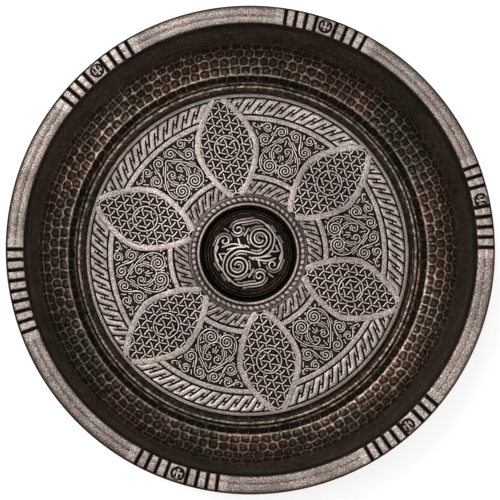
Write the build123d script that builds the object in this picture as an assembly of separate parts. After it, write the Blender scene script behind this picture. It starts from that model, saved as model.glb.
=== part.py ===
from build123d import *
import math
import os

# Hammam bowl: a shallow round bath bowl of copper sheet, with a hammered wall, a folded rim
# and an ornamented floor. It stands on the flat flange of its shell. Z is up, and the origin is
# on the table under its centre. Sizes are in millimetres. Profiles are drawn in the plane of
# radius and height and turned about Z.

# Overall
overall_radius = 100.0
overall_height = 50.0
cut_overshoot = 1.0  # how far a cutting shape runs past the face that it opens

# Shell: one raised sheet, with a flange to stand on, a well for the floor, a wall and a turned-out lip
shell_sheet = 1.0
flange_lap = 8.3  # width of the flange under the edge of the floor plate
well_gap = 0.8  # from the bead to where the flange turns up into the riser
well_depth = 4.3  # from the flange's top to the shoulder
riser_angle = 57.0
riser_bend = 1.2
shoulder_angle = 30.0  # slope of the wall just outside the shoulder
shoulder_bend = 1.6
slope_end_angle = 38.0  # slope where the flat lower wall turns up
slope_flatness = 4.6  # radius of the lower wall over that of the turn above it
wall_angle = 84.7
lip_bend = 1.8

# Rim: a hoop under the lip, and a band folded over both
rim_width = 8.2  # from the wall's inner face at the neck to the edge of the band
band_sheet = 1.0
band_inner_lap = 0.9  # from the neck to the inner edge of the band
band_crown = 0.35  # rise of the band's inner hump
band_outer_crown = 0.28  # and of its outer hump
crease_from_edge = 3.9  # line chased along the band
crease_depth = 0.3
band_corner = 1.5
band_wall_gap = 0.3
hoop_height = 2.0
hoop_corner = 0.5
hoop_inset = 0.6  # from the inner edge of the lower fold to the hoop
hoop_clearance = 0.05

# Rim ornament: groups of chased ribs, most with a stamped circle
group_angles = (10.3, 71.6, 131.4, 190.4, 251.7, 309.8)
circle_angles = (11.9, 71.6, 131.0, 251.9, 311.4)
group_grooves = 9
groove_pitch = 4.2
groove_radius = 0.8
groove_depth = 0.5
circle_radius = 2.7
circle_line = 0.4
circle_depth = 0.25
circle_from_edge = 3.8
circle_groove_length = 4.3

# Floor: a pressed plate on the flange, domed up to a flat land that carries the boss
solder_film = 0.15
solder_setback = 0.4  # from the edge of a piece to the edge of the solder under it
plate_sheet = 0.9
plate_radius = 70.3
plate_rise = 4.0
plate_margin = 8.8  # flat width along the plate's edge
land_margin = 1.3  # flat width outside the collar

# Strapwork raised on the floor
strap_height = 0.6
strap_width = 2.6
border_width = 1.8
outer_band_width = 9.1  # from the border to the middle of the outer strap
inner_band_width = 9.0  # from the collar to the middle of the inner strap
petal_count = 6
petal_turn = 41.2  # direction of the first petal
petal_inner_gap = 0.5  # from the collar to the petal's hollow
petal_outer_gap = 0.7  # from the hollow to the border
petal_half_width = 11.4
petal_fullness = 1.5
petal_pointedness = 0.76
petal_tip_growth = 1.25  # the strap round a petal is this many times wider at the tips
petal_points = 9  # on each quarter of a petal's outline

# Bead ring at the foot of the riser
bead_gap = 1.1  # from the floor plate to the bead
bead_shoulder_width = 0.6
bead_shoulder_height = 0.6
bead_width = 2.2
bead_height = 1.5

# Boss in the middle of the floor, with a collar round it
boss_radius = 19.4
boss_height = 12.0
boss_sheet = 0.9
boss_flange_width = 5.6
boss_clearance = 0.1
collar_gap = 1.8  # open groove between the boss and its collar
collar_lip_width = 1.2
collar_lip_height = 1.4
collar_groove_width = 0.7
collar_floor_height = 0.4
collar_rope_width = 2.6
collar_rope_height = 1.1
rope_cuts = 60
rope_cut_radius = 0.55
rope_cut_depth = 0.35


# One face of a bent sheet, drawn outwards: straight and round stretches that follow on smoothly
class SheetPath:
    def __init__(self, radius, height, heading=0.0):
        self.radius = radius
        self.height = height
        self.heading = heading
        self.stretches = []

    def straight(self, length):
        start = (self.radius, self.height, self.heading)
        self.radius += length * math.cos(math.radians(self.heading))
        self.height += length * math.sin(math.radians(self.heading))
        self.stretches.append((start, None, 0.0))

    def bend(self, bend_radius, turn):
        # A positive turn is to the left, which is up on the way out
        start = (self.radius, self.height, self.heading)
        self.radius, self.height = self._point_on_bend(start, bend_radius, turn)
        self.heading += turn
        self.stretches.append((start, bend_radius, turn))

    @staticmethod
    def _point_on_bend(start, bend_radius, turn):
        radius, height, heading = start
        side = math.copysign(1.0, turn)
        first = math.radians(heading)
        last = math.radians(heading + turn)
        return (
            radius + side * bend_radius * (math.sin(last) - math.sin(first)),
            height + side * bend_radius * (math.cos(first) - math.cos(last)),
        )

    @staticmethod
    def _shifted(start, offset):
        radius, height, heading = start
        turn = math.radians(heading)
        return (radius - offset * math.sin(turn), height + offset * math.cos(turn), heading)

    def points(self, offset):
        # Start, middle if it is round, and end of each stretch, offset to the left
        ends = [stretch[0] for stretch in self.stretches[1:]] + [(self.radius, self.height, self.heading)]
        rows = []
        for (start, bend_radius, turn), end in zip(self.stretches, ends):
            first = self._shifted(start, offset)
            last = self._shifted(end, offset)
            middle = None
            if bend_radius is not None:
                left_radius = bend_radius - offset * math.copysign(1.0, turn)
                middle = self._point_on_bend(first, left_radius, turn / 2)
            rows.append((first[:2], middle, last[:2]))
        return rows

    def edges(self, offset):
        made = []
        for first, middle, last in self.points(offset):
            if middle is None:
                made.append(Line(at(*first), at(*last)))
            else:
                made.append(ThreePointArc(at(*first), at(*middle), at(*last)))
        return made

    def end(self, offset):
        return self._shifted((self.radius, self.height, self.heading), offset)[:2]

    def begin(self, offset):
        return self._shifted(self.stretches[0][0], offset)[:2]


def at(radius, height):
    return Vector(radius, 0, height)


# Straight edges from point to point and back to the first one
def outline(*points):
    closed = points + points[:1]
    return [Line(at(*a), at(*b)) for a, b in zip(closed, closed[1:])]


def turned(edges):
    return revolve(make_face(Wire(edges)), Axis.Z)


# The ring between two offsets of a sheet path
def sheet_solid(path, low, high):
    first_side = Line(at(*path.begin(low)), at(*path.begin(high)))
    last_side = Line(at(*path.end(low)), at(*path.end(high)))
    return turned(path.edges(low) + path.edges(high) + [first_side, last_side])


def ring(inner, outer, low, high):
    return turned(outline((inner, low), (outer, low), (outer, high), (inner, high)))


# Places that follow from the sizes
lip_top = overall_height - band_crown - band_sheet
neck_radius = overall_radius - rim_width
neck_height = lip_top - lip_bend * (1 - math.cos(math.radians(wall_angle)))
lip_edge_radius = overall_radius - band_sheet - hoop_clearance
flange_top = shell_sheet
margin_bottom = flange_top + solder_film
margin_top = margin_bottom + plate_sheet
land_top = margin_top + plate_rise
land_bottom = land_top - plate_sheet
flange_inner_radius = plate_radius - flange_lap
plate_margin_radius = plate_radius - plate_margin
bead_inner_radius = plate_radius + bead_gap
bead_step_radius = bead_inner_radius + bead_shoulder_width
bead_outer_radius = bead_step_radius + bead_width
well_radius = bead_outer_radius + well_gap
border_inner_radius = plate_radius - border_width
outer_strap_radius = border_inner_radius - outer_band_width
collar_inner_radius = boss_radius + collar_gap
collar_outer_radius = collar_inner_radius + collar_lip_width + collar_groove_width + collar_rope_width
land_radius = collar_outer_radius + land_margin
inner_strap_radius = collar_outer_radius + inner_band_width
petal_inner_tip = collar_outer_radius + petal_inner_gap
petal_outer_tip = border_inner_radius - petal_outer_gap


# The upper and inner face of the shell, from the flange's edge to the edge of the lip
def shell_path():
    riser = math.radians(riser_angle)
    shoulder = math.radians(shoulder_angle)
    slope = math.radians(slope_end_angle)
    wall = math.radians(wall_angle)
    path = SheetPath(flange_inner_radius, flange_top)
    path.straight(well_radius - riser_bend * math.tan(riser / 2) - flange_inner_radius)
    path.bend(riser_bend, riser_angle)
    bends_rise = riser_bend * (1 - math.cos(riser)) + shoulder_bend * (math.cos(shoulder) - math.cos(riser))
    path.straight((well_depth - bends_rise) / math.sin(riser))
    path.bend(shoulder_bend, shoulder_angle - riser_angle)
    # The turn's radius and the straight wall's length take the path to the neck
    out_share = slope_flatness * (math.sin(slope) - math.sin(shoulder)) + math.sin(wall) - math.sin(slope)
    up_share = slope_flatness * (math.cos(shoulder) - math.cos(slope)) + math.cos(slope) - math.cos(wall)
    out = neck_radius - path.radius
    up = neck_height - path.height
    scale = out_share * math.sin(wall) - up_share * math.cos(wall)
    turn_radius = (out * math.sin(wall) - up * math.cos(wall)) / scale
    path.bend(turn_radius * slope_flatness, slope_end_angle - shoulder_angle)
    path.bend(turn_radius, wall_angle - slope_end_angle)
    path.straight((out_share * up - up_share * out) / scale)
    path.bend(lip_bend, -wall_angle)
    path.straight(lip_edge_radius - path.radius)
    return path


def bowl_shell():
    return sheet_solid(shell_path(), -shell_sheet, 0.0)


# Flat iron hoop in the fold, under the lip
def rim_hoop():
    top = lip_top - shell_sheet - hoop_clearance
    low = top - hoop_height
    inner = neck_radius + shell_sheet + band_wall_gap + hoop_inset
    outer = lip_edge_radius
    section = make_face(outline((inner, low), (outer, low), (outer, top), (inner, top)))
    return revolve(fillet(section.vertices(), hoop_corner), Axis.Z)


# Band before it is chased: folded over the lip, round the edge and back under the hoop
def band_blank():
    inner = neck_radius + band_inner_lap
    lower_inner = neck_radius + shell_sheet + band_wall_gap
    crease = overall_radius - crease_from_edge
    shoulder_top = lip_top + band_sheet
    outer_end = overall_radius - band_corner
    bottom = lip_top - shell_sheet - hoop_height - 2 * hoop_clearance - band_sheet
    cavity_edge = overall_radius - band_sheet
    corner_low = band_corner * (1 - math.sqrt(0.5))
    edges = [
        Line(at(inner, lip_top), at(inner, shoulder_top)),
        ThreePointArc(
            at(inner, shoulder_top),
            at((inner + crease) / 2, shoulder_top + band_crown),
            at(crease, shoulder_top + band_crown - crease_depth),
        ),
        ThreePointArc(
            at(crease, shoulder_top + band_crown - crease_depth),
            at((crease + outer_end) / 2, shoulder_top + band_outer_crown),
            at(outer_end, shoulder_top),
        ),
        ThreePointArc(
            at(outer_end, shoulder_top),
            at(overall_radius - corner_low, shoulder_top - corner_low),
            at(overall_radius, shoulder_top - band_corner),
        ),
        Line(at(overall_radius, shoulder_top - band_corner), at(overall_radius, bottom + band_corner)),
        ThreePointArc(
            at(overall_radius, bottom + band_corner),
            at(overall_radius - corner_low, bottom + corner_low),
            at(outer_end, bottom),
        ),
        Line(at(outer_end, bottom), at(lower_inner, bottom)),
        Line(at(lower_inner, bottom), at(lower_inner, bottom + band_sheet)),
        Line(at(lower_inner, bottom + band_sheet), at(cavity_edge, bottom + band_sheet)),
        Line(at(cavity_edge, bottom + band_sheet), at(cavity_edge, lip_top)),
        Line(at(cavity_edge, lip_top), at(inner, lip_top)),
    ]
    return turned(edges)


# Round bar that lies along a radius and dips into the top of the band
def groove_cutter(angle, near, far):
    top = overall_height - groove_depth + groove_radius
    bar = Cylinder(groove_radius, far - near, rotation=(0, 90, 0))
    return Rot(0, 0, angle) * Pos((near + far) / 2, 0, top) * bar


def rim_band():
    step = math.degrees(groove_pitch / (overall_radius - circle_from_edge))
    circle_centre = overall_radius - circle_from_edge
    cutters = []
    for middle in group_angles:
        angles = [middle + (n - (group_grooves - 1) / 2) * step for n in range(group_grooves)]
        for angle in angles:
            in_circle = [c for c in circle_angles if abs(c - angle) < step / 2]
            if in_circle:
                half = circle_groove_length / 2
                cutters.append(groove_cutter(in_circle[0], circle_centre - half, circle_centre + half))
            else:
                cutters.append(groove_cutter(angle, neck_radius, overall_radius + cut_overshoot))
    stamp_low = overall_height - band_crown - circle_depth
    for angle in circle_angles:
        disc = Circle(circle_radius) - Circle(circle_radius - circle_line)
        stamp = extrude(disc, band_crown + circle_depth + cut_overshoot)
        cutters.append(Rot(0, 0, angle) * Pos(circle_centre, 0, stamp_low) * stamp)
    return band_blank() - cutters


# The top face of the floor plate, from its hole to its edge
def plate_path():
    run = plate_margin_radius - land_radius
    slope = 2 * math.degrees(math.atan(plate_rise / run))
    bend_radius = run / (2 * math.sin(math.radians(slope)))
    path = SheetPath(boss_radius + boss_clearance, land_top)
    path.straight(land_radius - path.radius)
    path.bend(bend_radius, -slope)
    path.bend(bend_radius, slope)
    path.straight(plate_radius - path.radius)
    return path


# A pointed petal on the +X axis, grown by this much all round
def petal_face(grow):
    middle_radius = (petal_inner_tip + petal_outer_tip) / 2
    half_length = (petal_outer_tip - petal_inner_tip) / 2 + grow * petal_tip_growth
    half_width = petal_half_width + grow
    side = []
    for n in range(2 * petal_points + 1):
        share = -math.cos(math.pi * n / (2 * petal_points))
        width = half_width * (1 - abs(share) ** petal_fullness) ** petal_pointedness
        side.append((middle_radius + half_length * share, width))
    upper = Spline(*side)
    lower = Spline(*[(x, -y) for x, y in side])
    return make_face(Wire([upper, lower]))


def petal_prisms(grow):
    face = petal_face(grow)
    prism = extrude(face, overall_height)
    return [Rot(0, 0, petal_turn + n * 360 / petal_count) * prism for n in range(petal_count)]


def floor_plate():
    path = plate_path()
    plate = sheet_solid(path, -plate_sheet, 0.0)
    relief = sheet_solid(path, -plate_sheet / 2, strap_height)
    field_ring = ring(collar_outer_radius, border_inner_radius, 0, overall_height)
    petals = petal_prisms(strap_width)
    hollows = petal_prisms(0.0)
    frames = [(petal - hollow) & field_ring & relief for petal, hollow in zip(petals, hollows)]
    arcs = []
    for middle in (outer_strap_radius, inner_strap_radius):
        strap = ring(middle - strap_width / 2, middle + strap_width / 2, 0, overall_height)
        arcs.append((strap - petals) & relief)
    border = ring(border_inner_radius, plate_radius, 0, overall_height) & relief
    return plate + frames + arcs + border


def floor_solder():
    inner = flange_inner_radius + solder_setback
    return ring(inner, plate_radius - solder_setback, flange_top, margin_bottom)


# Moulded ring in the corner between the flange and the riser
def floor_bead():
    low = flange_top + solder_film
    step_top = low + bead_shoulder_height
    edges = [
        Line(at(bead_inner_radius, low), at(bead_inner_radius, step_top)),
        Line(at(bead_inner_radius, step_top), at(bead_step_radius, step_top)),
        ThreePointArc(
            at(bead_step_radius, step_top),
            at((bead_step_radius + bead_outer_radius) / 2, low + bead_height),
            at(bead_outer_radius, step_top),
        ),
        Line(at(bead_outer_radius, step_top), at(bead_outer_radius, low)),
        Line(at(bead_outer_radius, low), at(bead_inner_radius, low)),
    ]
    return turned(edges)


def bead_solder():
    inner = bead_inner_radius + solder_setback
    return ring(inner, bead_outer_radius - solder_setback, flange_top, flange_top + solder_film)


# Hollow dome that comes up through the plate, with a flange under it
def boss_cap():
    outer_sphere = (boss_radius**2 + boss_height**2) / (2 * boss_height)
    inner_sphere = outer_sphere - boss_sheet
    top = land_top + boss_height
    centre = top - outer_sphere
    inner_radius = boss_radius - boss_sheet
    inner_end = centre + math.sqrt(inner_sphere**2 - inner_radius**2)
    flange_high = land_bottom - solder_film
    flange_low = flange_high - boss_sheet
    flange_edge = boss_radius + boss_flange_width

    def on_sphere(sphere, radius):
        return at(radius, centre + math.sqrt(sphere**2 - radius**2))

    edges = [
        ThreePointArc(at(0, top), on_sphere(outer_sphere, boss_radius / 2), at(boss_radius, land_top)),
        Line(at(boss_radius, land_top), at(boss_radius, flange_high)),
        Line(at(boss_radius, flange_high), at(flange_edge, flange_high)),
        Line(at(flange_edge, flange_high), at(flange_edge, flange_low)),
        Line(at(flange_edge, flange_low), at(inner_radius, flange_low)),
        Line(at(inner_radius, flange_low), at(inner_radius, inner_end)),
        ThreePointArc(
            at(inner_radius, inner_end),
            on_sphere(inner_sphere, inner_radius / 2),
            at(0, top - boss_sheet),
        ),
        Line(at(0, top - boss_sheet), at(0, top)),
    ]
    return turned(edges)


def boss_solder():
    inner = boss_radius + solder_setback
    outer = boss_radius + boss_flange_width - solder_setback
    return ring(inner, outer, land_bottom - solder_film, land_bottom)


# Ring round the boss: a plain lip inside, and a rope moulding outside it
def boss_collar():
    low = land_top + solder_film
    lip_outer = collar_inner_radius + collar_lip_width
    rope_inner = lip_outer + collar_groove_width
    rope_middle = rope_inner + collar_rope_width / 2
    floor = low + collar_floor_height
    edges = [
        Line(at(collar_inner_radius, low), at(collar_inner_radius, floor)),
        ThreePointArc(
            at(collar_inner_radius, floor),
            at((collar_inner_radius + lip_outer) / 2, low + collar_lip_height),
            at(lip_outer, floor),
        ),
        Line(at(lip_outer, floor), at(rope_inner, floor)),
        ThreePointArc(
            at(rope_inner, floor),
            at(rope_middle, low + collar_rope_height),
            at(collar_outer_radius, floor),
        ),
        Line(at(collar_outer_radius, floor), at(collar_outer_radius, low)),
        Line(at(collar_outer_radius, low), at(collar_inner_radius, low)),
    ]
    height = low + collar_rope_height - rope_cut_depth + rope_cut_radius
    cut_length = collar_rope_width + collar_groove_width
    bar = Pos(rope_middle, 0, height) * Cylinder(rope_cut_radius, cut_length, rotation=(0, 90, 0))
    cutters = [Rot(0, 0, n * 360 / rope_cuts) * bar for n in range(rope_cuts)]
    return turned(edges) - cutters


def collar_solder():
    inner = collar_inner_radius + solder_setback
    return ring(inner, collar_outer_radius - solder_setback, land_top, land_top + solder_film)


pieces = {
    "bowl_shell": bowl_shell,
    "rim_hoop": rim_hoop,
    "rim_band": rim_band,
    "floor_plate": floor_plate,
    "floor_solder": floor_solder,
    "floor_bead": floor_bead,
    "bead_solder": bead_solder,
    "boss_cap": boss_cap,
    "boss_solder": boss_solder,
    "boss_collar": boss_collar,
    "collar_solder": collar_solder,
}

os.makedirs("parts", exist_ok=True)
for name, make in pieces.items():
    export_step(make(), f"parts/{name}.step")
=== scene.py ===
import math
import random

import bpy
import numpy as np
from mathutils import Matrix, Vector
from mathutils.kdtree import KDTree


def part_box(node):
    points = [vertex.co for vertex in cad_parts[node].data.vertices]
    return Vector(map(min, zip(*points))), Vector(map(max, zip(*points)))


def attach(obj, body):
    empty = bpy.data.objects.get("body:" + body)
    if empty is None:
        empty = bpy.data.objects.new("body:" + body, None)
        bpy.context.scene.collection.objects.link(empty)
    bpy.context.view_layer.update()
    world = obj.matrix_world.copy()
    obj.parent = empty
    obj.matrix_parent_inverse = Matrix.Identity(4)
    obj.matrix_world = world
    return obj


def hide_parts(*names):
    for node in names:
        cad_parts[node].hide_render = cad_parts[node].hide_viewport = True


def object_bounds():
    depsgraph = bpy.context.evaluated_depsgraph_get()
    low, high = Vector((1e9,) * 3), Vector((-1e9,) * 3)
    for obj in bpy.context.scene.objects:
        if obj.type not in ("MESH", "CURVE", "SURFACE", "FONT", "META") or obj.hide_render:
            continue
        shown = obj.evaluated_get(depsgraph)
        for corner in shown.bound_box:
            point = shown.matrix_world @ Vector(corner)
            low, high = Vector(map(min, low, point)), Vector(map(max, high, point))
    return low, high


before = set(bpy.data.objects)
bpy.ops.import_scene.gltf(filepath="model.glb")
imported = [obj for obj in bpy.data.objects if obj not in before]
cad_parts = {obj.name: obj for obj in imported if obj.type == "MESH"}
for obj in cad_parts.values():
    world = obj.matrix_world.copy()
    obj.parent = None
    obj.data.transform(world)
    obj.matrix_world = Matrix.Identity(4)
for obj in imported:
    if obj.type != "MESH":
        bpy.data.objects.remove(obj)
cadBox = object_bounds()
mm = 0.001
print("frame loaded")

# Sizes in every dictionary are millimetres and degrees. Wear runs from 0, black patina in a
# recess, to 1, bare silvered metal on a high place that hands have rubbed.
# On the sides of the hammer marks this value also holds painted shade.


# Outer radius and top of a CAD piece
def cadReach(node):
    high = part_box(node)[1]
    return high[0] / mm, high[2] / mm


def turned(radius, degrees, height=0.0):
    return radius * math.cos(math.radians(degrees)), radius * math.sin(math.radians(degrees)), height


# Small nodes. An input takes a value, a socket, or a node, which stands for its first output.

def addNode(tree, kind, inputs=None, **settings):
    node = tree.nodes.new(kind)
    for name, value in settings.items():
        setattr(node, name, value)
    for key, value in (inputs or {}).items():
        if isinstance(value, bpy.types.Node):
            value = value.outputs[0]
        if isinstance(value, bpy.types.NodeSocket):
            tree.links.new(value, node.inputs[key])
        else:
            node.inputs[key].default_value = value
    return node


def calc(tree, operation, *values, **settings):
    return addNode(tree, "ShaderNodeMath", dict(enumerate(values)), operation=operation, **settings)


def calcVector(tree, operation, vector, other):
    inputs = {0: vector, "Scale" if operation == "SCALE" else 1: other}
    return addNode(tree, "ShaderNodeVectorMath", inputs, operation=operation)


def remap(tree, value, to, start=(0.0, 1.0)):
    limits = {"From Min": start[0], "From Max": start[1], "To Min": to[0], "To Max": to[1]}
    return addNode(tree, "ShaderNodeMapRange", {"Value": value} | limits)

# Profiles and turned meshes

# Points along a bent line: (radius, height, heading, way gone). A stretch is a length to go
# straight on, or a bend's radius and how far it turns to the left.
def walk(radius, height, stretches, step):
    heading = 0.0
    gone = 0.0
    points = [(radius, height, heading, gone)]
    for stretch in stretches:
        length = stretch[0] if len(stretch) == 1 else stretch[0] * math.radians(abs(stretch[1]))
        turn = 0.0 if len(stretch) == 1 else stretch[1]
        count = max(1, round(length / step), round(abs(turn) / 8))
        for n in range(count):
            middle = math.radians(heading + turn / count / 2)
            chord = length / count
            if turn:
                chord = 2 * stretch[0] * math.sin(math.radians(abs(turn)) / count / 2)
            radius += chord * math.cos(middle)
            height += chord * math.sin(middle)
            heading += turn / count
            gone += length / count
            points.append((radius, height, heading, gone))
    return points


def arcPoints(start, middle, end, count):
    # A round stretch through three points, without its start
    (ax, ay), (bx, by), (cx, cy) = start, middle, end
    d = 2 * (ax * (by - cy) + bx * (cy - ay) + cx * (ay - by))
    a2, b2, c2 = ax * ax + ay * ay, bx * bx + by * by, cx * cx + cy * cy
    ux = (a2 * (by - cy) + b2 * (cy - ay) + c2 * (ay - by)) / d
    uy = (a2 * (cx - bx) + b2 * (ax - cx) + c2 * (bx - ax)) / d
    first = math.atan2(ay - uy, ax - ux)
    last = math.atan2(cy - uy, cx - ux)
    through = math.atan2(by - uy, bx - ux)
    full = 2 * math.pi
    sweep = (last - first) % full
    if (through - first) % full > sweep:
        sweep -= full
    size = math.hypot(ax - ux, ay - uy)
    turns = [first + sweep * (n + 1) / count for n in range(count)]
    return [(ux + size * math.cos(t), uy + size * math.sin(t)) for t in turns]


# Makes an object of points in metres, with a number for each point in every layer
def newPiece(name, points, edges=(), faces=(), **layers):
    mesh = bpy.data.meshes.new(name)
    mesh.from_pydata(points, edges, faces)
    for layer, values in layers.items():
        storeOnPoints(mesh, layer, values)
    piece = bpy.data.objects.new(name, mesh)
    bpy.context.scene.collection.objects.link(piece)
    return piece


def storeOnPoints(mesh, name, values):
    mesh.attributes.new(name, "FLOAT", "POINT").data.foreach_set("value", values)


# Faces between two rings of points. One ring has as many as the other, or half of them, or one.
def bridge(lower, upper):
    m, n = len(lower), len(upper)
    if m < n:
        return [face[::-1] for face in bridge(upper, lower)]
    if m == n:
        return [(lower[j - 1], lower[j], upper[j], upper[j - 1]) for j in range(m)] if m > 1 else []
    if n == 1:
        return [(lower[j - 1], lower[j], upper[0]) for j in range(m)]
    faces = []
    for j in range(0, m, 2):
        left, middle, right = lower[j], lower[j + 1], lower[(j + 2) % m]
        here, after = upper[j // 2], upper[(j // 2 + 1) % n]
        faces += [(left, middle, here), (middle, after, here), (middle, right, after)]
    return faces


# A mesh turned about Z from rows of (radius, height, columns, wear, reach). A radius of 0 is one
# point. Reach is how far struck marks go in there: 1 in full, 0 not at all, and less than 0
# bulges out.
def turnedMesh(name, rows, angles, closed=True):
    points, wearsAndShades, reaches, rings = [], [], [], []
    for radius, height, steps, wear, *reach in rows:
        turns = angles[:: len(angles) // steps] if radius > 0 else [0.0]
        rings.append(range(len(points), len(points) + len(turns)))
        points += [(radius * math.cos(turn) * mm, radius * math.sin(turn) * mm, height * mm) for turn in turns]
        wearsAndShades += [wear] * len(turns)
        reaches += [reach[0] if reach else 1.0] * len(turns)
    faces = []
    for here, after in zip(rings, rings[1:] + (rings[:1] if closed else [])):
        faces += bridge(here, after)
    piece = newPiece(name, points, faces=faces, wear=wearsAndShades, reach=reaches)
    piece.data.shade_smooth()
    return piece


def evenAngles(count):
    return [2 * math.pi * n / count for n in range(count)]


# Turns the result of the modifiers into the piece's own mesh, and removes the marks they used
def settle(piece, *used):
    graph = bpy.context.evaluated_depsgraph_get()
    mesh = bpy.data.meshes.new_from_object(piece.evaluated_get(graph), depsgraph=graph)
    piece.modifiers.clear()
    piece.data = mesh
    if signedVolume(mesh) < 0:
        mesh.flip_normals()
    for marks in used:
        bpy.data.objects.remove(marks)
    return piece


def placesOf(mesh):
    places = np.empty(len(mesh.vertices) * 3)
    mesh.vertices.foreach_get("co", places)
    return places.reshape(-1, 3)


def signedVolume(mesh):
    mesh.calc_loop_triangles()
    corners = np.empty(len(mesh.loop_triangles) * 3, dtype=np.int32)
    mesh.loop_triangles.foreach_get("vertices", corners)
    a, b, c = (placesOf(mesh)[corners.reshape(-1, 3)[:, n]] for n in range(3))
    return float(np.einsum("ij,ij->i", a, np.cross(b, c)).sum() / 6)


# Geometry Nodes trees

def newTree(name, sockets):
    tree = bpy.data.node_groups.new(name, "GeometryNodeTree")
    for way in ("INPUT", "OUTPUT"):
        tree.interface.new_socket("Geometry", in_out=way, socket_type="NodeSocketGeometry")
    for label, kind in sockets.items():
        tree.interface.new_socket(label, in_out="INPUT", socket_type="NodeSocket" + kind)
    return tree, addNode(tree, "NodeGroupInput").outputs


def endTree(tree, geometry, material):
    realized = addNode(tree, "GeometryNodeRealizeInstances", {"Geometry": geometry})
    finished = addNode(tree, "GeometryNodeSetMaterial", {"Geometry": realized, "Material": material})
    addNode(tree, "NodeGroupOutput", {"Geometry": finished})
    return tree


def useTree(piece, tree, values):
    modifier = piece.modifiers.new(tree.name, "NODES")
    modifier.node_group = tree
    for item in tree.interface.items_tree:
        if item.in_out == "INPUT" and item.name in values:
            modifier[item.identifier] = values[item.name]


def readPoints(tree, name):
    return addNode(tree, "GeometryNodeInputNamedAttribute", {"Name": name}, data_type="FLOAT")


def storeWearAndShade(tree, geometry, wear):
    inputs = {"Geometry": geometry, "Name": "wear", "Value": wear}
    return addNode(tree, "GeometryNodeStoreNamedAttribute", inputs, data_type="FLOAT", domain="POINT")


def geometryOf(tree, thing):
    return addNode(tree, "GeometryNodeObjectInfo", {"Object": thing}).outputs["Geometry"]


def curveNode(tree, value, places):
    node = addNode(tree, "ShaderNodeFloatCurve", {"Value": value})
    points = node.mapping.curves[0].points
    while len(points) < len(places):
        points.new(0.5, 0.5)
    for point, place in zip(points, places):
        point.location = place
        point.handle_type = "VECTOR"
    node.mapping.update()
    return node


# Marks struck into a surface. From the middle of a mark to Mark Radius, the first curve says how
# deep the surface goes in, as a share of Depth, and the second what share of its wear it keeps,
# which on the hammer marks also paints shade on their sides.
# Marks are lines of another object, or the points' own attribute "fromMark".
def strikingTree(name, lines, depths, wearsAndShades):
    tree, given = newTree(name, {
        "Marks": "Object", "Mark Radius": "Float", "Depth": "Float", "Material": "Material",
    })
    if lines:
        inputs = {0: geometryOf(tree, given["Marks"])}
        distance = addNode(tree, "GeometryNodeProximity", inputs, target_element="EDGES").outputs["Distance"]
    else:
        distance = readPoints(tree, "fromMark")
    share = calc(tree, "DIVIDE", distance, given["Mark Radius"], use_clamp=True)
    deep = calc(tree, "MULTIPLY", curveNode(tree, share, depths), given["Depth"])
    # On the hammer marks the kept share also darkens their sides as painted shade
    kept = curveNode(tree, share, wearsAndShades)
    reach = readPoints(tree, "reach")
    inwards = calc(tree, "MULTIPLY", calc(tree, "MULTIPLY", deep, reach), -1.0)
    offset = calcVector(tree, "SCALE", addNode(tree, "GeometryNodeInputNormal"), inwards)
    struck = addNode(tree, "GeometryNodeSetPosition", {"Geometry": given["Geometry"], "Offset": offset})
    wornAndShaded = calc(tree, "MULTIPLY", readPoints(tree, "wear"), remap(tree, reach, (1.0, kept)))
    return endTree(tree, storeWearAndShade(tree, struck, wornAndShaded), given["Material"])


def strike(piece, tree, material, radius, depth, **marks):
    sizes = {"Mark Radius": radius * mm, "Depth": depth * mm, "Material": material}
    useTree(piece, tree, sizes | marks)


# Lines of the piece's mesh become raised bars with rounded edges, lying flat
def raisingTree():
    tree, given = newTree("raise lines", {
        "Width": "Float", "Height": "Float", "Edge": "Float", "Edge Steps": "Int", "Material": "Material",
    })
    curve = addNode(tree, "GeometryNodeMeshToCurve", {"Mesh": given["Geometry"]})
    upright = addNode(tree, "GeometryNodeSetCurveNormal", {"Curve": curve}, mode="Z_UP")
    thickness = readPoints(tree, "thickness")
    sized = addNode(tree, "GeometryNodeSetCurveRadius", {"Curve": upright, "Radius": thickness})
    tall = calc(tree, "MULTIPLY", given["Height"], 2.0)
    section = addNode(tree, "GeometryNodeCurvePrimitiveQuadrilateral", {"Width": given["Width"], "Height": tall})
    rounded = addNode(
        tree, "GeometryNodeFilletCurve",
        {"Curve": section, "Count": given["Edge Steps"], "Radius": given["Edge"], "Limit Radius": True},
        mode="POLY",
    )
    inputs = {"Curve": sized, "Profile Curve": rounded, "Fill Caps": True}
    return endTree(tree, addNode(tree, "GeometryNodeCurveToMesh", inputs), given["Material"])


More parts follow.
